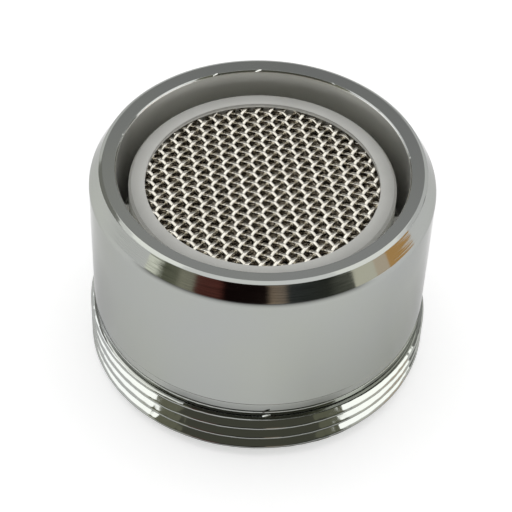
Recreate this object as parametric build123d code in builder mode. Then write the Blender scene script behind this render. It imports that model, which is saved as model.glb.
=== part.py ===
from build123d import *
from math import atan, ceil, cos, radians, sin, sqrt
import os

# Tap aerator, standing on its inlet end with the outlet up.
# Millimetres. Origin at the centre of the sealing face, +Z along the axis towards the outlet.

# Housing
thread_major_d = 23.9  # M24 x 1 male thread, outside the crests
thread_depth = 0.613
thread_length = 4.17
thread_end_chamfer = 0.35
thread_proud = 0.3  # crests stand this far outside the body
runout_height = 0.4  # groove where the thread runs out under the body
runout_land = 0.08
thread_wall = 0.9  # metal left between the thread root and the inlet counterbore
seat_width = 0.72  # inner step that stops the cartridge
body_height = 11.66
foot_bevel_height = 0.5
foot_bevel_depth = 0.03
rim_chamfer_height = 1.18
rim_chamfer_depth = 0.68
rim_break_width = 0.25  # edge break outside the flat of the rim
rim_break_drop = 0.12
mouth_round = 0.34  # rounded edge inside the flat of the rim, made of two flats

# Cartridge sleeve
flange_clearance = 0.15  # jet plate, strainer and washer in the inlet counterbore
air_gap = 0.7  # ring-shaped air way between sleeve and housing
sleeve_wall = 0.7
lip_recess = 1.57  # lip below the rim of the housing
lip_width = 0.39  # how far the lip reaches in past the sleeve's bore
lip_thickness = 0.3
lip_bevel = 0.18
rib_count = 6
rib_width = 0.9
rib_clearance = 0.1
rib_top_drop = 3.2  # ribs end this far under the lip
window_width = 3.6
window_height = 2.0
window_sill = 0.3  # between the jet plate's spigot and the windows

# Gauzes, of wires with a flat top and an edge below
wire_r = 0.14  # from the middle of a wire to its edges
mesh_pitch = 0.706
weave_gap = 0.012  # between wires where they cross
weave_turn = 55.35  # direction of the first wire set about the axis
first_set_phase = -0.082  # where the wires lie about the axis, in pitches
second_set_phase = -0.237
inner_mesh_turn = 17.0
mesh_edge_clearance = 0.07
seat_gap = 0.03  # between a gauze and what it lies against
strainer_wire_r = 0.1
strainer_pitch = 0.6

# Stack in the sleeve
retainer_height = 1.3
retainer_width = 0.7
press_clearance = 0.05
breaker_arm_width = 1.1
breaker_arm_height = 1.4
breaker_leg_depth = 0.9
breaker_hub_r = 2.2

# Jet plate, strainer and washer
flange_thickness = 1.0
spigot_height = 1.4
spigot_clearance = 0.1
jet_web = 1.2
jet_slot_count = 12
jet_slot_length = 2.0
jet_slot_width = 0.7
jet_slot_edge = 0.6  # slots end this far inside the recess
recess_wall = 0.45
strainer_thickness = 0.6
strainer_land = 0.5  # how far the frame reaches in under the gauze
strainer_bar_width = 0.7
strainer_bar_count = 3
washer_thickness = 1.8
washer_width = 2.6
washer_proud = 0.4  # washer stands out of the thread end, so that it is squeezed first

# Radii from the thread inwards
thread_r = thread_major_d / 2
thread_root_r = thread_r - thread_depth
mouth_step = mouth_round * (1 - sqrt(0.5))  # where the two flats of the mouth's edge meet
body_r = thread_r - thread_proud
counterbore_r = thread_root_r - thread_wall
flange_r = counterbore_r - flange_clearance
bore_r = counterbore_r - seat_width
sleeve_r = bore_r - air_gap
rib_r = bore_r - rib_clearance
sleeve_bore_r = sleeve_r - sleeve_wall
outlet_r = sleeve_bore_r - lip_width
mesh_r = sleeve_bore_r - mesh_edge_clearance
press_r = sleeve_bore_r - press_clearance
spigot_r = sleeve_bore_r - spigot_clearance
recess_r = spigot_r - recess_wall
strainer_mesh_r = recess_r - mesh_edge_clearance
washer_bore_r = flange_r - washer_width

# A three-sided wire: its top lies half its radius above the middle, its lower edge a full radius below
wire_sides = 3
wire_height = 1.5 * wire_r
wire_half_width = wire_r * sin(radians(60))
strainer_wire_height = 1.5 * strainer_wire_r

# Crimp of the woven wires: just enough for one wire to clear the other where they cross
crossing_room = 2 * (1 - wire_half_width / mesh_pitch)
crimp = (wire_height + weave_gap) / crossing_room
for _ in range(3):
    wire_slope = atan(2 * crimp / mesh_pitch)
    slope_stretch = 1 / cos(wire_slope)  # a sloping wire cut upright is this much taller
    crimp = (wire_height * slope_stretch + weave_gap) / crossing_room
end_lean = wire_r * sin(wire_slope)  # how far the end of a sloping wire leans out past its middle
mesh_above = crimp + wire_r * slope_stretch / 2
mesh_below = crimp + wire_r * slope_stretch

# Heights from the sealing face up to the housing's step and the jet plate
thread_end_z = washer_proud
thread_top_z = thread_end_z + thread_length
rim_z = thread_top_z + body_height
strainer_z = washer_thickness
flange_z = strainer_z + strainer_thickness
seat_z = flange_z + flange_thickness
spigot_z = seat_z + spigot_height
window_z = spigot_z + window_sill
strainer_lower_z = flange_z + seat_gap + strainer_wire_r
strainer_upper_z = strainer_lower_z + strainer_wire_height + weave_gap

# Heights from the rim down to the jet breaker
lip_z = rim_z - lip_recess
lip_under_z = lip_z - lip_thickness
outlet_mesh_z = lip_under_z - seat_gap - mesh_above
inner_upper_z = outlet_mesh_z - mesh_below - seat_gap - wire_r / 2
inner_lower_z = inner_upper_z - wire_height - weave_gap
retainer_top_z = inner_lower_z - wire_r - seat_gap
breaker_top_z = retainer_top_z - retainer_height
breaker_under_z = breaker_top_z - breaker_arm_height


def wire_places(radius, pitch, phase):
    """Number and offset of each wire of one set that crosses the disc."""
    reach = ceil(radius / pitch) + 1
    places = [(n, (n + phase) * pitch) for n in range(-reach, reach + 1)]
    return [(n, offset) for n, offset in places if abs(offset) < radius - pitch / 2]


def wire_reach(radius, offset, half_width):
    """Half the length of a wire whose corners end on the edge of the disc."""
    return sqrt(radius**2 - (abs(offset) + half_width) ** 2)


def wire_plane(turn, offset, z):
    """Upright plane along one wire: its x runs along the wire and its y is up."""
    a = radians(turn)
    return Plane(
        origin=(-sin(a) * offset, cos(a) * offset, z),
        x_dir=(cos(a), sin(a), 0),
        z_dir=(sin(a), -cos(a), 0),
    )


def section_plane(origin, along, across):
    """Plane square to a wire, with its y down."""
    return Plane(origin=origin, x_dir=across, z_dir=along)


def crimped_points(half_length, number, phase, side):
    """Middle line of a wire that goes over one crossing and under the next."""

    def height(s):
        wave = (s / mesh_pitch - phase + number) % 2
        return side * crimp * (2 * abs(wave - 1) - 1)

    reach = ceil(half_length / mesh_pitch) + 1
    crossings = [(n + phase) * mesh_pitch for n in range(-reach, reach + 1)]
    along = [s for s in crossings if abs(s) < half_length]
    # a wire ends on its last crossing where that lies close to the edge of the disc
    if along[0] + half_length > wire_r:
        along.insert(0, -half_length)
    if half_length - along[-1] > wire_r:
        along.append(half_length)
    return [(s, height(s)) for s in along]


def straight_gauze(radius, pitch, section_r, layers):
    """Straight wires that cross in two layers; layers gives each one's turn and height."""
    half_width = section_r * sin(radians(60))
    wires = []
    for turn, z in layers:
        for _, offset in wire_places(radius, pitch, 0):
            half_length = wire_reach(radius, offset, half_width)
            plane = wire_plane(turn, offset, z)
            with BuildSketch(section_plane(plane.origin, plane.x_dir, plane.z_dir)) as section:
                RegularPolygon(section_r, wire_sides, rotation=90)
            wires.append(extrude(section.sketch, amount=half_length, both=True, mode=Mode.PRIVATE))
    return wires


# Housing: turned shell with the outside of the thread, run-out groove, body and chamfered rim
with BuildPart() as housing:
    with BuildSketch(Plane.XZ):
        with BuildLine():
            Polyline(
                (counterbore_r, thread_end_z),
                (thread_r - thread_end_chamfer, thread_end_z),
                (thread_r, thread_end_z + thread_end_chamfer),
                (thread_r, thread_top_z - runout_height),
                (thread_root_r, thread_top_z - runout_land),
                (body_r - foot_bevel_depth, thread_top_z),
                (body_r, thread_top_z + foot_bevel_height),
                (body_r, rim_z - rim_break_drop - rim_chamfer_height),
                (body_r - rim_chamfer_depth, rim_z - rim_break_drop),
                (body_r - rim_chamfer_depth - rim_break_width, rim_z),
                (bore_r + mouth_round, rim_z),
                (bore_r + mouth_step, rim_z - mouth_step),
                (bore_r, rim_z - mouth_round),
                (bore_r, seat_z),
                (counterbore_r, seat_z),
                close=True,
            )
        make_face()
    revolve(axis=Axis.Z)
housing.part.label = "housing"

# Sealing washer: flat rubber ring in the inlet counterbore
with BuildPart() as sealing_washer:
    with BuildSketch():
        Circle(flange_r)
        Circle(washer_bore_r, mode=Mode.SUBTRACT)
    extrude(amount=washer_thickness)
sealing_washer.part.label = "sealing_washer"

# Strainer frame: flat ring on the washer, with bars across that carry the inlet gauze
with BuildPart() as strainer_frame:
    with BuildSketch(Plane.XY.offset(strainer_z)):
        Circle(flange_r)
        Circle(strainer_mesh_r - strainer_land, mode=Mode.SUBTRACT)
        with PolarLocations(0, strainer_bar_count, angular_range=180):
            Rectangle(2 * strainer_mesh_r, strainer_bar_width)
    extrude(amount=strainer_thickness)
strainer_frame.part.label = "strainer_frame"

# Inlet gauze: fine wires lying on the strainer frame, inside the recess of the jet plate
with BuildPart() as strainer_mesh:
    strainer_layers = ((0, strainer_lower_z), (90, strainer_upper_z))
    add(straight_gauze(strainer_mesh_r, strainer_pitch, strainer_wire_r, strainer_layers))
strainer_mesh.part.label = "strainer_mesh"

# Jet plate: flange under the housing's step, spigot in the sleeve, ring of jet slots in the web
with BuildPart() as jet_plate:
    with BuildSketch(Plane.XZ):
        with BuildLine():
            Polyline(
                (0, spigot_z - jet_web),
                (recess_r, spigot_z - jet_web),
                (recess_r, flange_z),
                (flange_r, flange_z),
                (flange_r, seat_z),
                (spigot_r, seat_z),
                (spigot_r, spigot_z),
                (0, spigot_z),
                close=True,
            )
        make_face()
    revolve(axis=Axis.Z)
    with BuildSketch(Plane.XY.offset(spigot_z)):
        with PolarLocations(recess_r - jet_slot_edge - jet_slot_length / 2, jet_slot_count):
            Rectangle(jet_slot_length, jet_slot_width)
    extrude(amount=-jet_web, mode=Mode.SUBTRACT)
jet_plate.part.label = "jet_plate"

# Cartridge sleeve: tube with the outlet lip, centring ribs outside and air windows between them
with BuildPart() as cartridge_sleeve:
    with BuildSketch(Plane.XZ):
        with BuildLine():
            Polyline(
                (sleeve_bore_r, seat_z),
                (sleeve_r, seat_z),
                (sleeve_r, lip_z - lip_bevel),
                (sleeve_r - lip_bevel, lip_z),
                (outlet_r, lip_z),
                (outlet_r, lip_under_z),
                (sleeve_bore_r, lip_under_z),
                close=True,
            )
        make_face()
    revolve(axis=Axis.Z)
    with BuildSketch(Plane.XY.offset(seat_z)):
        with PolarLocations((sleeve_bore_r + rib_r) / 2, rib_count):
            Rectangle(rib_r - sleeve_bore_r, rib_width)
        Circle(sleeve_r - sleeve_wall / 2, mode=Mode.SUBTRACT)
    extrude(amount=lip_z - rib_top_drop - seat_z)
    with BuildSketch(Plane.XY.offset(window_z)):
        with PolarLocations(bore_r / 2, rib_count, start_angle=180 / rib_count):
            Rectangle(bore_r, window_width)
    extrude(amount=window_height, mode=Mode.SUBTRACT)
cartridge_sleeve.part.label = "cartridge_sleeve"

# Jet breaker: arms and a hub that the jets strike, on legs that stand on the jet plate
arm_reach = sqrt(press_r**2 - (breaker_arm_width / 2) ** 2)
with BuildPart() as jet_breaker:
    with BuildSketch(Plane.XY.offset(breaker_under_z)):
        with PolarLocations(arm_reach / 2, rib_count):
            Rectangle(arm_reach, breaker_arm_width)
        Circle(breaker_hub_r)
    extrude(amount=breaker_arm_height)
    with BuildSketch(Plane.XY.offset(spigot_z)):
        with PolarLocations(arm_reach - breaker_leg_depth / 2, rib_count):
            Rectangle(breaker_leg_depth, breaker_arm_width)
    extrude(amount=breaker_under_z - spigot_z)
jet_breaker.part.label = "jet_breaker"

# Mesh retainer: ring on the jet breaker that holds both gauzes against the lip
with BuildPart() as mesh_retainer:
    with BuildSketch(Plane.XY.offset(breaker_top_z)):
        Circle(press_r)
        Circle(press_r - retainer_width, mode=Mode.SUBTRACT)
    extrude(amount=retainer_height)
mesh_retainer.part.label = "mesh_retainer"

# Inner gauze: turned against the outlet gauze
with BuildPart() as inner_mesh:
    inner_layers = ((inner_mesh_turn, inner_lower_z), (inner_mesh_turn + 90, inner_upper_z))
    add(straight_gauze(mesh_r, mesh_pitch, wire_r, inner_layers))
inner_mesh.part.label = "inner_mesh"

# Outlet gauze: plain weave, each wire crimped over one crossing and under the next
wire_sets = (
    (weave_turn, first_set_phase, second_set_phase, 1),
    (weave_turn + 90, -second_set_phase, first_set_phase, -1),
)
with BuildPart() as outlet_mesh:
    woven = []
    for turn, phase, crossing_phase, side in wire_sets:
        for number, offset in wire_places(mesh_r, mesh_pitch, phase):
            half_length = wire_reach(mesh_r, offset, wire_half_width) - end_lean
            plane = wire_plane(turn, offset, outlet_mesh_z)
            with BuildLine(plane) as path:
                Polyline(*crimped_points(half_length, number, crossing_phase, side))
            with BuildSketch(section_plane(path.line @ 0, path.line % 0, plane.z_dir)) as section:
                RegularPolygon(wire_r, wire_sides, rotation=90)
            woven.append(
                sweep(section.sketch, path.line, transition=Transition.RIGHT, mode=Mode.PRIVATE)
            )
    add(woven)
outlet_mesh.part.label = "outlet_mesh"

os.makedirs("parts", exist_ok=True)
export_step(housing.part, "parts/housing.step")
export_step(sealing_washer.part, "parts/sealing_washer.step")
export_step(strainer_frame.part, "parts/strainer_frame.step")
export_step(strainer_mesh.part, "parts/strainer_mesh.step")
export_step(jet_plate.part, "parts/jet_plate.step")
export_step(cartridge_sleeve.part, "parts/cartridge_sleeve.step")
export_step(jet_breaker.part, "parts/jet_breaker.step")
export_step(mesh_retainer.part, "parts/mesh_retainer.step")
export_step(inner_mesh.part, "parts/inner_mesh.step")
export_step(outlet_mesh.part, "parts/outlet_mesh.step")
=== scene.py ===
from math import ceil, copysign, cos, degrees, log2, pi, radians, sin, sqrt, tan

import bmesh
import bpy
from mathutils import Matrix, Vector, noise


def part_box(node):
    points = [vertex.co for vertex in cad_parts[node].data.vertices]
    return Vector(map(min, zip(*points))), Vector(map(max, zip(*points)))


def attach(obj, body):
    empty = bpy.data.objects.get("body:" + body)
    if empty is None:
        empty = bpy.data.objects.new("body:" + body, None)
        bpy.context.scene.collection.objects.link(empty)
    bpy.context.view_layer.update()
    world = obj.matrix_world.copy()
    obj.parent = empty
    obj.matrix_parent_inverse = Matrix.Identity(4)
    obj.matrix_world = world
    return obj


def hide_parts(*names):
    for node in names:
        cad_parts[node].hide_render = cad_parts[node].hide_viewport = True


# Tap aerator: a chromed, threaded housing round a moulded cartridge with woven gauzes.
# Sizes in millimetres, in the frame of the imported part, and turned into metres where meshes are made.

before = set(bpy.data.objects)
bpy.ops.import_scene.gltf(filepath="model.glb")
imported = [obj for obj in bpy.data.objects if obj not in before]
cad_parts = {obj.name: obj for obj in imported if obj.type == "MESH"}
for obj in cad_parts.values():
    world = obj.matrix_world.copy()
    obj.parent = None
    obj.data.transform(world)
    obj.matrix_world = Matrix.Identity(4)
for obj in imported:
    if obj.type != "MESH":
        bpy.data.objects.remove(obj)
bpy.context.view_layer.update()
MM = 0.001


def node_span(node):
    """Lowest and highest corner of a node, in millimetres."""
    low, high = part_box(node)
    return low / MM, high / MM


# Sizes from the frame
housing_low, housing_high = node_span("housing")
sleeve_low, sleeve_high = node_span("cartridge_sleeve")
washer_low, washer_high = node_span("sealing_washer")
outlet_low, outlet_high = node_span("outlet_mesh")
inner_low, inner_high = node_span("inner_mesh")
strainer_low, strainer_high = node_span("strainer_mesh")
thread_end_z = housing_low.z
rim_z = housing_high.z
thread_r = housing_high.x
seat_z = sleeve_low.z
flange_r = washer_high.x

# Housing
body_r = 11.65
bore_r = 9.717
counterbore_r = 10.437
inlet_break = 0.1
foot_bevel_height = 0.66
foot_bevel_depth = 0.03
foot_line = 0.03
rim_chamfer_height = 1.18
rim_chamfer_depth = 0.68
rim_break_width = 0.25
rim_break_drop = 0.12
mouth_edge_r = 9.9
mouth_drop = 0.13
mouth_chamfer_width = 0.09
mouth_chamfer_height = 0.133
mouth_step_z = 10.0
chamfer_round = 0.8
edge_round = 0.05
fine_round = 0.02

# Male thread, right-handed
thread_length = 4.17
thread_pitch = 1.0
thread_depth = 0.5
crest_flat = 0.14
root_flat = 0.05
crest_round = 0.04
front_crest_z = 0.97
thread_end_chamfer = 0.35
thread_wear = 0.02
ragged_round, ragged_along = 30, 1.5
worn_round, worn_along = 12, 3
runout_groove = 0.12
runout_land = 0.35
runout_gap = 0.08
runout_low_r = 11.5
runout_land_r = 11.6
runout_land_slope = 0.06

# Burrs left by turning: azimuth from the front, radius, height above the thread end, length and width.
# They are tilted forward, and to the right from one azimuth on and to the left before it
burrs = (
    (-176, 9.86, 15.69, 0.5, 0.24),
    (-158, 9.86, 15.7, 0.42, 0.2),
    (-104, 9.9, 15.7, 0.24, 0.14),
    (98, 9.9, 15.7, 0.24, 0.14),
    (128, 9.88, 15.7, 0.3, 0.12),
    (152, 9.88, 15.7, 0.3, 0.14),
    (4.5, 11.8, 3.92, 0.6, 0.3),
)
burr_tilt = 30
burr_right_from = 90
burr_half_thickness = 0.03

# Gauzes
wire_width = 0.131
wire_height = 0.115
wire_squareness = 0.28
wire_crimp = 0.125
wire_r = 0.118
mesh_pitch = 0.706
weave_turn = 55.35
first_set_phase = -0.082
second_set_phase = -0.237
inner_mesh_turn = 17.0
strainer_wire_r = 0.08
strainer_crimp = 0.082
strainer_pitch = 0.6
strainer_turn = 0.0
centred_phases = (0.0, 0.0)

# Painted light and shade on the sleeve: its tone at two distances from the axis on its lip, and below the lip
lip_painted_light, lip_painted_light_r = 1.12, 8.05
lip_painted_shade, lip_painted_shade_r = 0.76, 8.95
lip_edge = 0.12
wall_painted_light, wall_painted_light_depth = 2.0, 0.4

# Washer
washer_width = 2.6
washer_edge_round = 0.15

# Mesh density; the fillet and support shares are of a straight run's length
columns = 440
rows_per_pitch = 16
arc_step = 12
fewest_arc_steps = 3
longest_fillet = 0.45
support_run = 0.05
longest_support = 0.2
wire_sides, wire_steps = 14, 8
coarse_wire_sides, coarse_wire_steps = 6, 6
weld_distance = 1e-4
sharp_angle = radians(45)


def new_object(name, verts, faces):
    """Smooth mesh object from points in millimetres, with the edges over sharp_angle kept sharp."""
    mesh = bpy.data.meshes.new(name)
    mesh.from_pydata([Vector(v) * MM for v in verts], [], faces)
    bm = bmesh.new()
    bm.from_mesh(mesh)
    bmesh.ops.remove_doubles(bm, verts=bm.verts, dist=weld_distance * MM)
    bmesh.ops.dissolve_degenerate(bm, edges=bm.edges, dist=weld_distance * MM)
    bmesh.ops.recalc_face_normals(bm, faces=bm.faces)
    for edge in bm.edges:
        edge.smooth = edge.calc_face_angle(0) < sharp_angle
    bm.to_mesh(mesh)
    bm.free()
    mesh.polygons.foreach_set("use_smooth", [True] * len(mesh.polygons))
    piece = bpy.data.objects.new(name, mesh)
    bpy.context.scene.collection.objects.link(piece)
    return piece


def place(piece, node, material):
    """Makes a piece stand for a node of the part."""
    piece.data.materials.clear()
    piece.data.materials.append(material)
    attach(piece, "root")
    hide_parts(node)


def rounded_outline(corners, closed=False):
    """Points (r, z) of an outline through corners (r, z, fillet radius): an arc at each corner, and
    support points that keep the straight runs flat under smooth shading."""
    count = len(corners)
    points = []
    for i, (r, z, fillet) in enumerate(corners):
        here = Vector((r, z))
        ends = not closed and i in (0, count - 1)
        if ends or fillet == 0:
            points.append(here)
            continue
        back = Vector(corners[i - 1][:2]) - here
        ahead = Vector(corners[(i + 1) % count][:2]) - here
        u, v = back.normalized(), ahead.normalized()
        half = u.angle(v) / 2
        reach = min(fillet / tan(half), longest_fillet * min(back.length, ahead.length))
        radius = reach * tan(half)
        centre = here + (u + v).normalized() * (radius / sin(half))
        start, end = here + u * reach, here + v * reach
        a, b = start - centre, end - centre
        turn = a.angle_signed(b)
        steps = max(fewest_arc_steps, ceil(abs(degrees(turn)) / arc_step))
        points.append(start + u * min(support_run, longest_support * back.length))
        for k in range(steps + 1):
            spin = Matrix.Rotation(-turn * k / steps, 2)
            points.append(centre + spin @ a)
        points.append(end + v * min(support_run, longest_support * ahead.length))
    return [(p.x, p.y) for p in points]


def revolve(name, outline):
    """Closed outline (r, z) turned about the axis."""
    verts, faces = [], []
    count = len(outline)
    for j in range(columns):
        a = 2 * pi * j / columns
        verts += [(r * cos(a), r * sin(a), z) for r, z in outline]
    for j in range(columns):
        here, there = j * count, (j + 1) % columns * count
        for k in range(count):
            n = (k + 1) % count
            faces.append((here + k, there + k, there + n, here + n))
    return new_object(name, verts, faces)


# Housing with its thread


def thread_form(t):
    """Radius of the thread at a share t of a pitch above a crest's middle, with its corners eased."""

    def sharp(s):
        s = abs((s + 0.5) % 1 - 0.5) * thread_pitch
        crest, root = crest_flat / 2, (thread_pitch - root_flat) / 2
        fall = min(max((s - crest) / (root - crest), 0), 1)
        return thread_r - thread_depth * fall

    steps = (-1, -0.5, 0, 0.5, 1)
    return sum(sharp(t + k * crest_round) for k in steps) / len(steps)


def thread_radius(angle, z):
    """Outside of the thread, a little worn and cut down by the chamfer at its end."""
    turns = (angle + pi / 2) / (2 * pi)
    x, y = cos(angle), sin(angle)
    ragged = thread_wear * noise.noise((ragged_round * x, ragged_round * y, ragged_along * z))
    wear = noise.noise((worn_round * x, worn_round * y, worn_along * z))
    worn = thread_wear * (0.5 + 0.5 * wear)
    radius = thread_form((z + ragged - front_crest_z) / thread_pitch - turns)
    chamfer = thread_r - thread_end_chamfer + z - thread_end_z
    return min(radius, chamfer) - worn


def burr(azimuth, r, z, length, width):
    """Small flat fleck of metal, tilted like a turned-up edge."""
    around, rings = 12, 3
    a = radians(azimuth - 90)
    middle = Vector((r * cos(a), r * sin(a), z + thread_end_z))
    side = 1 if azimuth >= burr_right_from else -1
    lean = sin(radians(burr_tilt)) / sqrt(2)
    facing = Vector((lean * side, -lean, cos(radians(burr_tilt))))
    along = Vector((-sin(a), cos(a), 0))
    along = (along - along.dot(facing) * facing).normalized()
    across = facing.cross(along)
    verts, faces = [], []
    for side_of_fleck in (1, -1):
        start = len(verts)
        for i in range(1, rings + 1):
            share = i / rings
            lift = side_of_fleck * burr_half_thickness * sqrt(1 - share**2)
            for k in range(around):
                b = 2 * pi * k / around
                offset = along * (cos(b) * length / 2) + across * (sin(b) * width / 2)
                verts.append(middle + offset * share + facing * lift)
        faces.append(tuple(start + k for k in range(around)))
        for i in range(rings - 1):
            for k in range(around):
                n = (k + 1) % around
                row, outer = start + i * around, start + (i + 1) * around
                faces.append((row + k, row + n, outer + n, outer + k))
    return verts, faces


def make_housing():
    """Rows of points that climb with the thread, then the turned outline above and inside it, and the
    burrs; where the rows meet after one turn they are one pitch apart."""
    thread_top_z = thread_end_z + thread_length
    foot_r = body_r - foot_bevel_depth
    foot_z = thread_top_z + foot_bevel_height
    chamfer_top_r = body_r - rim_chamfer_depth
    groove_z = thread_top_z - runout_groove
    land_z = groove_z - runout_land
    mouth_z = rim_z - mouth_drop
    outline = rounded_outline(
        [
            (runout_low_r, land_z - runout_gap, 0),
            (runout_low_r, land_z, fine_round),
            (runout_land_r + runout_land_slope * runout_land, land_z, edge_round),
            (runout_land_r, groove_z, edge_round),
            (runout_low_r, groove_z, fine_round),
            (runout_low_r, thread_top_z, fine_round),
            (foot_r, thread_top_z, fine_round),
            (body_r - foot_line / 3, foot_z - foot_line, foot_line),
            (body_r - foot_line, foot_z, foot_line),
            (body_r, foot_z + foot_line, foot_line),
            (body_r, rim_z - rim_break_drop - rim_chamfer_height, chamfer_round),
            (chamfer_top_r, rim_z - rim_break_drop, fine_round),
            (chamfer_top_r - rim_break_width, rim_z, edge_round),
            (mouth_edge_r, mouth_z, fine_round),
            (mouth_edge_r - mouth_chamfer_width, mouth_z - mouth_chamfer_height, edge_round),
            (mouth_edge_r - mouth_chamfer_width, mouth_step_z, 0),
            (bore_r, mouth_step_z - mouth_chamfer_width, 0),
            (bore_r, seat_z, edge_round),
            (counterbore_r, seat_z, edge_round),
            (counterbore_r, thread_end_z + inlet_break, edge_round),
            (counterbore_r + inlet_break, thread_end_z, edge_round),
            (runout_low_r - inlet_break, thread_end_z, 0),
        ]
    )
    zone_low, zone_high = thread_end_z, land_z - runout_gap
    first = zone_low - thread_pitch
    thread_rows = ceil((zone_high - first) / thread_pitch * rows_per_pitch) + 1
    verts, faces = [], []
    rows = thread_rows + len(outline)
    for j in range(columns):
        a = 2 * pi * j / columns
        for k in range(thread_rows):
            rise = first + thread_pitch * (k / rows_per_pitch + j / columns)
            z = min(max(rise, zone_low), zone_high)
            r = thread_radius(a, z)
            verts.append((r * cos(a), r * sin(a), z))
        verts += [(r * cos(a), r * sin(a), z) for r, z in outline]
    for j in range(columns):
        seam = j == columns - 1
        here, there = j * rows, (j + 1) % columns * rows
        for k in range(rows):
            n = (k + 1) % rows
            shift = rows_per_pitch if seam else 0
            ka = min(k + shift, thread_rows - 1) if k < thread_rows else k
            na = min(n + shift, thread_rows - 1) if n < thread_rows else n
            faces.append((here + k, there + ka, there + na, here + n))
    for size in burrs:
        burr_verts, burr_faces = burr(*size)
        start = len(verts)
        verts += burr_verts
        faces += [tuple(start + v for v in face) for face in burr_faces]
    return new_object("threaded_housing", verts, faces)


# Gauzes


def flattened(value):
    """Sine or cosine drawn out, so that an oval made of the two gets flatter sides."""
    return copysign(abs(value) ** wire_squareness, value)


def woven_wire(path, width, height, sides):
    """Tube along points, with closed ends; its section is an oval with flattened sides, and width and
    height are half of the oval's."""
    verts, faces = [], []
    count = len(path)
    section = []
    for s in range(sides):
        a = 2 * pi * (s + 0.5) / sides
        section.append((width * flattened(cos(a)), height * flattened(sin(a))))
    for i, p in enumerate(path):
        along = (path[min(i + 1, count - 1)] - path[max(i - 1, 0)]).normalized()
        across = along.cross(Vector((0, 0, 1))).normalized()
        up = across.cross(along)
        verts += [p + aside * across + above * up for aside, above in section]
    for i in range(count - 1):
        for s in range(sides):
            n = (s + 1) % sides
            faces.append((i * sides + s, i * sides + n, (i + 1) * sides + n, (i + 1) * sides + s))
    faces.append(tuple(reversed(range(sides))))
    faces.append(tuple((count - 1) * sides + s for s in range(sides)))
    return verts, faces


def woven_gauze(name, disc_r, pitch, width, height, crimp, turn, phases, middle_z, sides, steps):
    """Disc of plain weave: each wire goes over one crossing and under the next."""
    verts, faces = [], []
    for side, spin, phase, crossing_phase in (
        (1, turn, phases[0], phases[1]),
        (-1, turn + 90, -phases[1], phases[0]),
    ):
        a = radians(spin)
        along = Vector((cos(a), sin(a), 0))
        across = Vector((-sin(a), cos(a), 0))
        reach = ceil(disc_r / pitch) + 1
        for n in range(-reach, reach + 1):
            offset = (n + phase) * pitch
            if abs(offset) > disc_r - pitch / 2:
                continue
            half = sqrt(disc_r**2 - (abs(offset) + width) ** 2)
            count = ceil(2 * half / pitch * steps)
            path = []
            for i in range(count + 1):
                s = -half + 2 * half * i / count
                wave = cos(pi * (s / pitch - crossing_phase + n))
                path.append(across * offset + along * s + Vector((0, 0, middle_z + side * crimp * wave)))
            wire_verts, wire_faces = woven_wire(path, width, height, sides)
            start = len(verts)
            verts += wire_verts
            faces += [tuple(start + v for v in face) for face in wire_faces]
    return new_object(name, verts, faces)


# Materials

# A noise passes from the first colour or value to the second between these levels; scales are per metre
noise_low, noise_middle, noise_high = 0.3, 0.5, 0.7

# Chrome: the plating, the satin bore that ends just outside the mouth, and turning marks on the chamfer; the
# bore's lighter colour is painted light in the shaded bore
chrome_colours = (0.377, 0.388, 0.382), (0.384, 0.398, 0.361)
chrome_tint = (0.72, 0.72, 0.72, 1)
chrome_polish = 0.05, 0.1
chrome_colour_scale, chrome_polish_scale = 90.0, 900.0
bore_painted_light_colour = (0.82, 0.82, 0.795, 1)
bore_roughness = 0.32
bore_finish_to, chrome_finish_from = 0.01, 0.04
marks_scale, marks_detail, marks_depth = 7000.0, 2.0, 0.007
marks_fade_low, marks_fade_high = 0.2, 0.1

# Wire and plastic
wire_colour_scale, wire_polish_scale, wire_polish_spread = 1500.0, 4000.0, 0.05
plastic_ior = 1.48
plastic_colour_scale, plastic_polish_scale, plastic_polish_spread = 400.0, 1200.0, 0.06
grain_scale, grain_strength, grain_depth = 6000.0, 0.15, 0.02


def new_material(name):
    """Principled material, its node tree and its shader."""
    material = bpy.data.materials.new(name)
    material.use_nodes = True
    tree = material.node_tree
    return material, tree, tree.nodes["Principled BSDF"]


def add_node(tree, kind, **settings):
    """Node with its inputs or properties set by name."""
    node = tree.nodes.new(kind)
    for key, value in settings.items():
        if hasattr(node, key):
            setattr(node, key, value)
        else:
            node.inputs[key.replace("_", " ")].default_value = value
    return node


def calc(tree, operation, first, second):
    """Value of a sum; each operand is a socket or a number."""
    node = add_node(tree, "ShaderNodeMath", operation=operation)
    for socket, operand in zip(node.inputs, (first, second)):
        if isinstance(operand, (int, float)):
            socket.default_value = operand
        else:
            tree.links.new(operand, socket)
    return node.outputs[0]


def blend(tree, kind, share, first, second):
    """Mix of two floats or two colours; the first is a constant."""
    node = add_node(tree, "ShaderNodeMix", data_type=kind)
    spots = {"FLOAT": (2, 3, 0), "RGBA": (6, 7, 2)}[kind]
    node.inputs[spots[0]].default_value = first
    tree.links.new(share, node.inputs[0])
    tree.links.new(second, node.inputs[spots[1]])
    return node.outputs[spots[2]]


def ramp(tree, source, low, high, start=0.0, end=1.0):
    """Maps a value to a range or to a colour between two."""
    node = tree.nodes.new("ShaderNodeMapRange" if isinstance(low, float) else "ShaderNodeValToRGB")
    if isinstance(low, float):
        for key, value in (("From Min", start), ("From Max", end), ("To Min", low), ("To Max", high)):
            node.inputs[key].default_value = value
        tree.links.new(source, node.inputs["Value"])
        return node.outputs["Result"]
    node.color_ramp.elements[0].position = start
    node.color_ramp.elements[1].position = end
    node.color_ramp.elements[0].color = (*low, 1)
    node.color_ramp.elements[1].color = (*high, 1)
    tree.links.new(source, node.inputs["Fac"])
    return node.outputs["Color"]


def position(tree):
    """Place on the object: its coordinates x, y and z, and all three together."""
    spot = tree.nodes.new("ShaderNodeTexCoord").outputs["Object"]
    parts = tree.nodes.new("ShaderNodeSeparateXYZ")
    tree.links.new(spot, parts.inputs["Vector"])
    return parts.outputs["X"], parts.outputs["Y"], parts.outputs["Z"], spot


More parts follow.
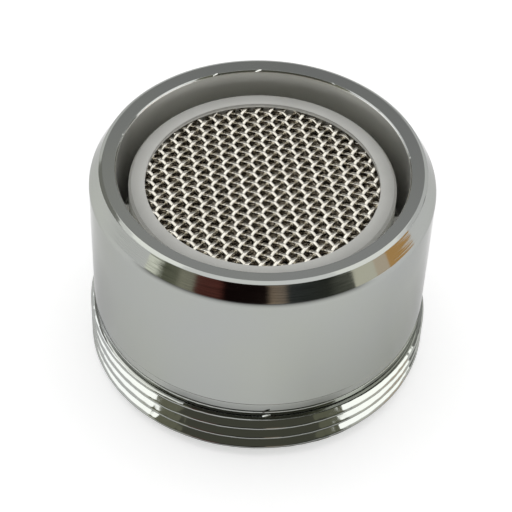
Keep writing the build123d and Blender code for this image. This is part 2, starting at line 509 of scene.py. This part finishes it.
def axis_distance(tree):
    """Distance from the axis."""
    x, y, _, _ = position(tree)
    squares = calc(tree, "ADD", calc(tree, "MULTIPLY", x, x), calc(tree, "MULTIPLY", y, y))
    return calc(tree, "SQRT", squares, 0)


def azimuth_of(tree):
    """Azimuth from the front, positive to the right."""
    x, y, _, _ = position(tree)
    return calc(tree, "ARCTAN2", x, calc(tree, "MULTIPLY", y, -1.0))


def noise_value(tree, scale, detail=3.0, stretch=None):
    """Noise over the object, drawn out along its axes where a stretch is given."""
    vector = position(tree)[3]
    if stretch:
        drawn = add_node(tree, "ShaderNodeVectorMath", operation="MULTIPLY")
        drawn.inputs[1].default_value = stretch
        tree.links.new(vector, drawn.inputs[0])
        vector = drawn.outputs["Vector"]
    texture = add_node(tree, "ShaderNodeTexNoise", Scale=scale, Detail=detail)
    tree.links.new(vector, texture.inputs["Vector"])
    return texture.outputs["Fac"]


def noisy(tree, scale, first, second):
    """Colour or value that wanders between two."""
    return ramp(tree, noise_value(tree, scale), first, second, noise_low, noise_high)


def add_bump(tree, shader, height, strength, depth):
    """Relief on a surface, with its depth in millimetres."""
    bump = add_node(tree, "ShaderNodeBump", Strength=strength, Distance=depth * MM)
    tree.links.new(height, bump.inputs["Height"])
    tree.links.new(bump.outputs["Normal"], shader.inputs["Normal"])


def chrome_material():
    """Chrome plating: bright outside with turning marks on the chamfer, satin in the bore, where a lighter
    colour is painted light.
    """
    material, tree, shader = new_material("chrome_plating")
    shader.inputs["Metallic"].default_value = 1.0
    shader.inputs["Specular Tint"].default_value = chrome_tint
    _, _, z, _ = position(tree)
    radius = axis_distance(tree)
    mouth_r = mouth_edge_r - mouth_chamfer_width
    bore_end, chrome_start = (mouth_r + bore_finish_to) * MM, (mouth_r + chrome_finish_from) * MM
    outside = ramp(tree, radius, 0.0, 1.0, bore_end, chrome_start)
    bright = noisy(tree, chrome_colour_scale, *chrome_colours)
    # Painted light: the bore gets a much lighter colour than the plating outside, to brighten the shaded
    # bore; its satin roughness is its own.
    plating_and_painted_bore_light = blend(tree, "RGBA", outside, bore_painted_light_colour, bright)
    tree.links.new(plating_and_painted_bore_light, shader.inputs["Base Color"])
    polish = noisy(tree, chrome_polish_scale, *chrome_polish)
    tree.links.new(blend(tree, "FLOAT", outside, bore_roughness, polish), shader.inputs["Roughness"])
    section = tree.nodes.new("ShaderNodeCombineXYZ")
    tree.links.new(radius, section.inputs["X"])
    tree.links.new(z, section.inputs["Y"])
    marks = add_node(tree, "ShaderNodeTexNoise", Scale=marks_scale, Detail=marks_detail)
    tree.links.new(section.outputs["Vector"], marks.inputs["Vector"])
    chamfer_low, chamfer_high = rim_z - rim_break_drop - rim_chamfer_height, rim_z - rim_break_drop
    above = ramp(tree, z, 0.0, 1.0, chamfer_low * MM, (chamfer_low + marks_fade_low) * MM)
    below = ramp(tree, z, 1.0, 0.0, (chamfer_high - marks_fade_high) * MM, chamfer_high * MM)
    share = calc(tree, "MULTIPLY", above, below)
    add_bump(tree, shader, calc(tree, "MULTIPLY", marks.outputs["Fac"], share), 1.0, marks_depth)
    return material


def wire_material(name, dark, light, roughness):
    """Stainless wire, a little uneven in colour and polish."""
    material, tree, shader = new_material(name)
    shader.inputs["Metallic"].default_value = 1.0
    tree.links.new(noisy(tree, wire_colour_scale, dark, light), shader.inputs["Base Color"])
    smooth, rough = roughness - wire_polish_spread, roughness + wire_polish_spread
    tree.links.new(noisy(tree, wire_polish_scale, smooth, rough), shader.inputs["Roughness"])
    return material


def plastic_material(name, dark, light, roughness, lip=False):
    """Moulded plastic with a fine satin grain; a lip gets painted light and shade, lighter towards its inner
    edge and on its wall below.
    """
    material, tree, shader = new_material(name)
    shader.inputs["IOR"].default_value = plastic_ior
    colour = noisy(tree, plastic_colour_scale, dark, light)
    if lip:
        _, _, z, _ = position(tree)
        # Painted light and shade: the colour is scaled lighter near the lip's inner edge, darker further out,
        # and lighter on the wall below the lip.
        top = ramp(tree, axis_distance(tree), lip_painted_light, lip_painted_shade, lip_painted_light_r * MM, lip_painted_shade_r * MM)
        lip_z = sleeve_high.z
        wall = ramp(tree, z, wall_painted_light, 1.0, (lip_z - wall_painted_light_depth) * MM, (lip_z - lip_edge) * MM)
        painted_light_tone = calc(tree, "MULTIPLY", top, wall)
        painted_light_scale = add_node(tree, "ShaderNodeVectorMath", operation="SCALE")
        tree.links.new(colour, painted_light_scale.inputs[0])
        tree.links.new(painted_light_tone, painted_light_scale.inputs["Scale"])
        colour = painted_light_scale.outputs["Vector"]
    tree.links.new(colour, shader.inputs["Base Color"])
    smooth, rough = roughness - plastic_polish_spread, roughness + plastic_polish_spread
    tree.links.new(noisy(tree, plastic_polish_scale, smooth, rough), shader.inputs["Roughness"])
    add_bump(tree, shader, noise_value(tree, grain_scale), grain_strength, grain_depth)
    return material


chrome = chrome_material()
wire = wire_material("drawn_wire", (0.54, 0.515, 0.46), (0.66, 0.635, 0.575), 0.14)
# Inner gauze: dull wire whose colour is darkened as painted shade for the shadow under the outlet gauze.
dull_wire_painted_shade = wire_material("dull_wire_painted_shade", (0.41, 0.365, 0.3), (0.52, 0.465, 0.39), 0.45)
# The sleeve's lip carries painted light and shade.
grey_plastic = plastic_material("grey_plastic", (0.44, 0.44, 0.415), (0.48, 0.48, 0.455), 0.45, lip=True)
# Parts inside the housing: plastic darkened as painted shade for the shadowed interior seen through the
# gauzes.
dark_plastic = plastic_material("dark_plastic", (0.33, 0.31, 0.275), (0.39, 0.37, 0.33), 0.5)
white_plastic = plastic_material("white_plastic", (0.68, 0.68, 0.66), (0.74, 0.74, 0.72), 0.42)
rubber = plastic_material("black_rubber", (0.012, 0.012, 0.012), (0.03, 0.03, 0.03), 0.7)

place(make_housing(), "housing", chrome)
outlet_gauze = woven_gauze(
    "woven_outlet_gauze",
    outlet_high.x,
    mesh_pitch,
    wire_width,
    wire_height,
    wire_crimp,
    weave_turn,
    (first_set_phase, second_set_phase),
    (outlet_low.z + outlet_high.z) / 2,
    wire_sides,
    wire_steps,
)
place(outlet_gauze, "outlet_mesh", wire)
inner_gauze = woven_gauze(
    "woven_inner_gauze",
    inner_high.x,
    mesh_pitch,
    wire_r,
    wire_r,
    wire_crimp,
    inner_mesh_turn,
    centred_phases,
    (inner_low.z + inner_high.z) / 2,
    coarse_wire_sides,
    coarse_wire_steps,
)
place(inner_gauze, "inner_mesh", dull_wire_painted_shade)
strainer_gauze = woven_gauze(
    "woven_strainer_gauze",
    strainer_high.x,
    strainer_pitch,
    strainer_wire_r,
    strainer_wire_r,
    strainer_crimp,
    strainer_turn,
    centred_phases,
    (strainer_low.z + strainer_high.z) / 2,
    coarse_wire_sides,
    coarse_wire_steps,
)
place(strainer_gauze, "strainer_mesh", wire)

washer_ring = revolve(
    "rubber_washer",
    rounded_outline(
        [
            (flange_r, washer_low.z, washer_edge_round),
            (flange_r, washer_high.z, edge_round),
            (flange_r - washer_width, washer_high.z, edge_round),
            (flange_r - washer_width, washer_low.z, washer_edge_round),
        ],
        closed=True,
    ),
)
place(washer_ring, "sealing_washer", rubber)

for node, material in (
    ("cartridge_sleeve", grey_plastic),
    ("mesh_retainer", dark_plastic),
    ("jet_breaker", dark_plastic),
    ("jet_plate", dark_plastic),
    ("strainer_frame", white_plastic),
):
    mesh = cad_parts[node].data
    mesh.materials.clear()
    mesh.materials.append(material)


# Stage


def stage_material(name, kind, **settings):
    """Material of one shader, its node tree and that shader."""
    material = bpy.data.materials.new(name)
    material.use_nodes = True
    tree = material.node_tree
    tree.nodes.clear()
    shader = add_node(tree, kind, **settings)
    output = tree.nodes.new("ShaderNodeOutputMaterial")
    tree.links.new(shader.outputs[0], output.inputs["Surface"])
    return material, tree, shader


def glowing(name, colour):
    """Emission material; its colour is a constant until a socket is linked to it."""
    return stage_material(name, "ShaderNodeEmission", Color=(*colour, 1))


def clear_material(name):
    """Material that only dims what is behind it."""
    return stage_material(name, "ShaderNodeBsdfTransparent")


def seen_by_mirrors(tree):
    """1 for camera, glossy and transmission rays."""
    path = tree.nodes.new("ShaderNodeLightPath")
    direct = calc(tree, "MAXIMUM", path.outputs["Is Camera Ray"], path.outputs["Is Glossy Ray"])
    return calc(tree, "MAXIMUM", direct, path.outputs["Is Transmission Ray"])


def sheet(name, corners, material, camera=False, lights=False):
    """Flat or curved card given by a grid of points in millimetres."""
    rows, width = len(corners), len(corners[0])
    verts = [Vector(p) * MM for row in corners for p in row]
    faces = [
        (i * width + j, i * width + j + 1, (i + 1) * width + j + 1, (i + 1) * width + j)
        for i in range(rows - 1)
        for j in range(width - 1)
    ]
    mesh = bpy.data.meshes.new(name)
    mesh.from_pydata(verts, [], faces)
    mesh.materials.append(material)
    card = bpy.data.objects.new(name, mesh)
    bpy.context.scene.collection.objects.link(card)
    card.visible_camera = camera
    card.visible_diffuse = camera or lights
    card.visible_shadow = camera or lights
    return card


card_distance = 170


def sky_point(azimuth, elevation):
    """Point seen from the middle of the rim; azimuth 0 is towards the viewer, positive to the right."""
    a, e = radians(azimuth), radians(elevation)
    level = card_distance * cos(e)
    return (level * sin(a), -level * cos(a), rim_z + card_distance * sin(e))


def between(pair, share):
    """Value at a share of the way from the first to the second."""
    return pair[0] + (pair[1] - pair[0]) * share


def sky_patch(name, azimuths, lower, upper, material):
    """Card bent round the object between two azimuths; lower and upper hold the elevations of its lower
    and upper edge at each of the two."""
    steps = 12
    grid = []
    for i in range(steps + 1):
        row = []
        for j in range(steps + 1):
            share = j / steps
            elevation = between((between(lower, share), between(upper, share)), i / steps)
            row.append(sky_point(between(azimuths, share), elevation))
        grid.append(row)
    return sheet(name, grid, material)


# Pale floor, which camera and mirrors see a little brighter than it is lit
floor_colour = (0.82, 0.82, 0.82, 1)
floor_roughness = 0.9
floor_lift = 0.45
floor_half = 3000
floor_material, floor_tree, floor_shader = new_material("pale_floor")
floor_shader.inputs["Base Color"].default_value = floor_colour
floor_shader.inputs["Roughness"].default_value = floor_roughness
floor_shader.inputs["Emission Color"].default_value = (1, 1, 1, 1)
floor_tree.links.new(
    calc(floor_tree, "MULTIPLY", seen_by_mirrors(floor_tree), floor_lift),
    floor_shader.inputs["Emission Strength"],
)
floor_corners = [[(x, y, 0) for x in (-floor_half, floor_half)] for y in (-floor_half, floor_half)]
sheet("floor", floor_corners, floor_material, camera=True)

# Even white surroundings: their light on the object, and how bright camera and mirrors see them
sky_light, sky_seen = 0.55, 1.0
world = bpy.data.worlds.new("studio")
bpy.context.scene.world = world
world.use_nodes = True
sky = world.node_tree.nodes["Background"]
sky.inputs["Color"].default_value = (1, 1, 1, 1)
sky_strength = ramp(world.node_tree, seen_by_mirrors(world.node_tree), sky_light, sky_seen)
world.node_tree.links.new(sky_strength, sky.inputs["Strength"])

# Soft light from above
box_x, box_front, box_back, box_z = 190, -80, 130, 200
box_strength = 1.3
box_corners = [[(x, y, box_z) for x in (-box_x, box_x)] for y in (box_front, box_back)]
sheet("softbox", box_corners, glowing("softbox_light", (box_strength,) * 3)[0], lights=True)

# Plain cards that the metal mirrors: name, azimuths, elevations of the lower and upper edge at each of
# the two, colour
front_left, front_right = -66, 55
front_low, front_high = -5.4, 20
for name, azimuths, lower, upper, colour in (
    ("card_above", (-49, 42), (front_high, front_high), (66, 66), (0.115, 0.115, 0.09)),
    ("card_above_left", (-64.5, -49), (front_high, front_high), (66, 66), (0.25, 0.25, 0.18)),
    ("card_above_right", (42, front_right), (front_high, front_high), (66, 66), (0.22, 0.22, 0.16)),
    ("card_pale", (front_right, 69), (front_low, front_low), (14, 14), (0.95, 0.92, 0.76)),
    ("card_amber", (69, 78), (front_low, front_low), (9, 9), (0.88, 0.74, 0.57)),
    ("card_orange", (78, 98), (front_low, front_low), (9, 9), (0.83, 0.48, 0.18)),
    ("card_right", (106, 128), (4, 4), (28, 28), (0.3, 0.3, 0.29)),
    ("card_low_back", (156, 204), (6, 6), (26, 26), (0.09, 0.09, 0.08)),
    ("card_left", (-152, -120), (20, 22), (44, 47), (0.35, 0.35, 0.33)),
    ("card_left_front", (-120, -90), (27, 38), (42, 42), (0.35, 0.35, 0.33)),
    ("light_left", (-128, -64.5), (3, 28.6), (17, 50), (2.5, 2.5, 2.5)),
    ("light_left_high", (-152, -80), (45, 50), (70, 70), (1.75, 1.75, 1.7)),
    ("light_right", (front_right, 106), (30, 12), (50, 26), (2.5, 2.5, 2.5)),
    ("light_right_high", (80, 152), (46, 42), (68, 68), (1.6, 1.6, 1.55)),
):
    sky_patch(name, azimuths, lower, upper, glowing(name, colour)[0])

# Room in front, as bands of colour by azimuth with uneven edges, and streaks across them
band_span = 70
band_wobble = 0.1
edge_detail, edge_stretch = 3.0, (8, 8, 160)
streak_detail, streak_stretch = 2.0, (8, 8, 120)
streak_dark, streak_light = 0.35, 1.65
streak_low, streak_high = 0.35, 0.65
bands = (
    (front_left, (0.86, 0.87, 0.76)),
    (-58, (0.86, 0.87, 0.76)),
    (-56, (0.16, 0.165, 0.115)),
    (-47, (0.2, 0.205, 0.15)),
    (-44, (0.37, 0.36, 0.28)),
    (-36.5, (0.34, 0.33, 0.26)),
    (-34.5, (0.14, 0.05, 0.04)),
    (-21, (0.12, 0.038, 0.03)),
    (-18, (0.008, 0.004, 0.004)),
    (5, (0.018, 0.011, 0.01)),
    (8, (0.36, 0.27, 0.2)),
    (15, (0.3, 0.24, 0.19)),
    (18, (0.055, 0.06, 0.06)),
    (28, (0.04, 0.044, 0.041)),
    (40, (0.04, 0.043, 0.036)),
    (front_right, (0.2, 0.205, 0.17)),
)
room, room_tree, room_shader = glowing("room_front", (0, 0, 0))
across = ramp(room_tree, azimuth_of(room_tree), 0.0, 1.0, radians(-band_span), radians(band_span))
edge_noise = noise_value(room_tree, 1.0, edge_detail, edge_stretch)
uneven = calc(room_tree, "SUBTRACT", edge_noise, noise_middle)
wobble = calc(room_tree, "MULTIPLY", uneven, band_wobble)
band_ramp = room_tree.nodes.new("ShaderNodeValToRGB")
room_tree.links.new(calc(room_tree, "ADD", across, wobble), band_ramp.inputs["Fac"])
stops = band_ramp.color_ramp.elements
stops.remove(stops[1])
for k, (azimuth, colour) in enumerate(bands):
    spot = (azimuth + band_span) / (2 * band_span)
    stop = stops.new(spot) if k else stops[0]
    stop.position = spot
    stop.color = (*colour, 1)
room_tree.links.new(band_ramp.outputs["Color"], room_shader.inputs["Color"])
streak_noise = noise_value(room_tree, 1.0, streak_detail, streak_stretch)
streaks = ramp(room_tree, streak_noise, streak_dark, streak_light, streak_low, streak_high)
room_tree.links.new(streaks, room_shader.inputs["Strength"])
front_edges = (front_low, front_low), (front_high, front_high)
sky_patch("card_front", (front_left, front_right), *front_edges, room)

# Grey wall behind, darker upwards and a little to the left: strength at two elevations, and its rise per
# metre to the right
wall_low_strength, wall_low_elevation = 0.55, 29
wall_high_strength, wall_high_elevation = 0.36, 57
wall_rise = 1.2
wall, wall_tree, wall_shader = glowing("wall_behind", (1, 1, 1))
wall_x, _, wall_z, _ = position(wall_tree)
wall_low = sky_point(180, wall_low_elevation)[2] * MM
wall_high = sky_point(180, wall_high_elevation)[2] * MM
height = ramp(wall_tree, wall_z, wall_low_strength, wall_high_strength, wall_low, wall_high)
lean = calc(wall_tree, "MULTIPLY", wall_x, wall_rise)
wall_tree.links.new(calc(wall_tree, "ADD", height, lean), wall_shader.inputs["Strength"])
sky_patch("card_back", (152, 208), (26, 26), (60, 60), wall)

# Shade on the floor, which the metal mirrors: clear cards that only dim what is under them
shade_z = 0.02


def within(tree, begin, full, fade, end):
    """1 between two azimuths, with a soft start and end."""
    azimuth = azimuth_of(tree)
    coming = ramp(tree, azimuth, 0.0, 1.0, radians(begin), radians(full))
    going = ramp(tree, azimuth, 1.0, 0.0, radians(fade), radians(end))
    return calc(tree, "MULTIPLY", coming, going)


def floor_ring(name, radii, azimuths, material):
    """Part of a flat ring close above the floor."""
    across, around = 8, 75
    grid = []
    for k in range(across + 1):
        r = between(radii, k / across)
        row = []
        for j in range(around + 1):
            a = radians(between(azimuths, j / around))
            row.append((r * sin(a), -r * cos(a), shade_z))
        grid.append(row)
    return sheet(name, grid, material)


# Near the object: strength, distances where it is full and gone, azimuths where it begins, is full, fades
# and ends
shades = (
    (0.52, (14.3, 15.6), (-42, -30, 30, 42)),
    (0.17, (15, 24), (2, 26, 70, 90)),
    (0.22, (14, 19), (75, 95, 125, 148)),
    (0.22, (14, 19), (-148, -125, -95, -75)),
)
shade_low_r, shade_high_r, shade_side = 12.05, 26.05, 150
shade, shade_tree, shade_shader = clear_material("floor_shade")
reach = axis_distance(shade_tree)
clear = 1.0
for strength, (full_r, end_r), azimuths in shades:
    near = ramp(shade_tree, reach, strength, 0.0, full_r * MM, end_r * MM)
    patch = calc(shade_tree, "MULTIPLY", near, within(shade_tree, *azimuths))
    clear = calc(shade_tree, "SUBTRACT", clear, patch)
shade_tree.links.new(clear, shade_shader.inputs["Color"])
floor_ring("floor_shade", (shade_low_r, shade_high_r), (-shade_side, shade_side), shade)

# Floor further off in front, which darkens towards the room with each doubling of the distance
far_low_r, far_high_r = 27.0, 172.0
far_strength = 0.9
far_azimuths = (-74, -60, 52, 66)
far_shade, far_tree, far_shader = clear_material("floor_far")
far_ratio = calc(far_tree, "DIVIDE", axis_distance(far_tree), far_low_r * MM)
far_doublings = calc(far_tree, "LOGARITHM", far_ratio, 2.0)
far_end = log2(far_high_r / far_low_r)
far_dim = ramp(far_tree, far_doublings, 0.0, far_strength, 0.0, far_end)
far_patch = calc(far_tree, "MULTIPLY", far_dim, within(far_tree, *far_azimuths))
far_tree.links.new(calc(far_tree, "SUBTRACT", 1.0, far_patch), far_shader.inputs["Color"])
floor_ring("floor_far", (far_low_r, far_high_r), (far_azimuths[0], far_azimuths[-1]), far_shade)

# Camera, from the photograph
focal_px = 1690.55
frame_px = 512
sensor_mm = 36.0
camera_aim_z = 16.23
camera_distance = 112.553
camera_elevation = radians(42.627)
camera_roll = radians(2.563)
camera_pan = radians(-0.12)
camera_tilt = radians(-3.131)
camera_clip = 1.0


def turned(a, b, angle):
    """Two axes turned in their own plane."""
    return cos(angle) * a + sin(angle) * b, cos(angle) * b - sin(angle) * a


back = Vector((0, -cos(camera_elevation), sin(camera_elevation)))
ahead, right = -back, Vector((1, 0, 0))
up = right.cross(ahead)
ahead, right = turned(ahead, right, camera_pan)
ahead, up = turned(ahead, up, camera_tilt)
right, up = turned(right, up, camera_roll)
camera_data = bpy.data.cameras.new("camera")
camera_data.lens = focal_px * sensor_mm / frame_px
camera_data.sensor_width = sensor_mm
camera_data.clip_start = camera_clip * MM
camera = bpy.data.objects.new("camera", camera_data)
camera_place = (back * camera_distance + Vector((0, 0, camera_aim_z))) * MM
camera.matrix_world = Matrix.Translation(camera_place) @ Matrix((right, up, -ahead)).transposed().to_4x4()
bpy.context.scene.collection.objects.link(camera)
bpy.context.scene.camera = camera
bpy.context.scene.view_settings.view_transform = "Standard"
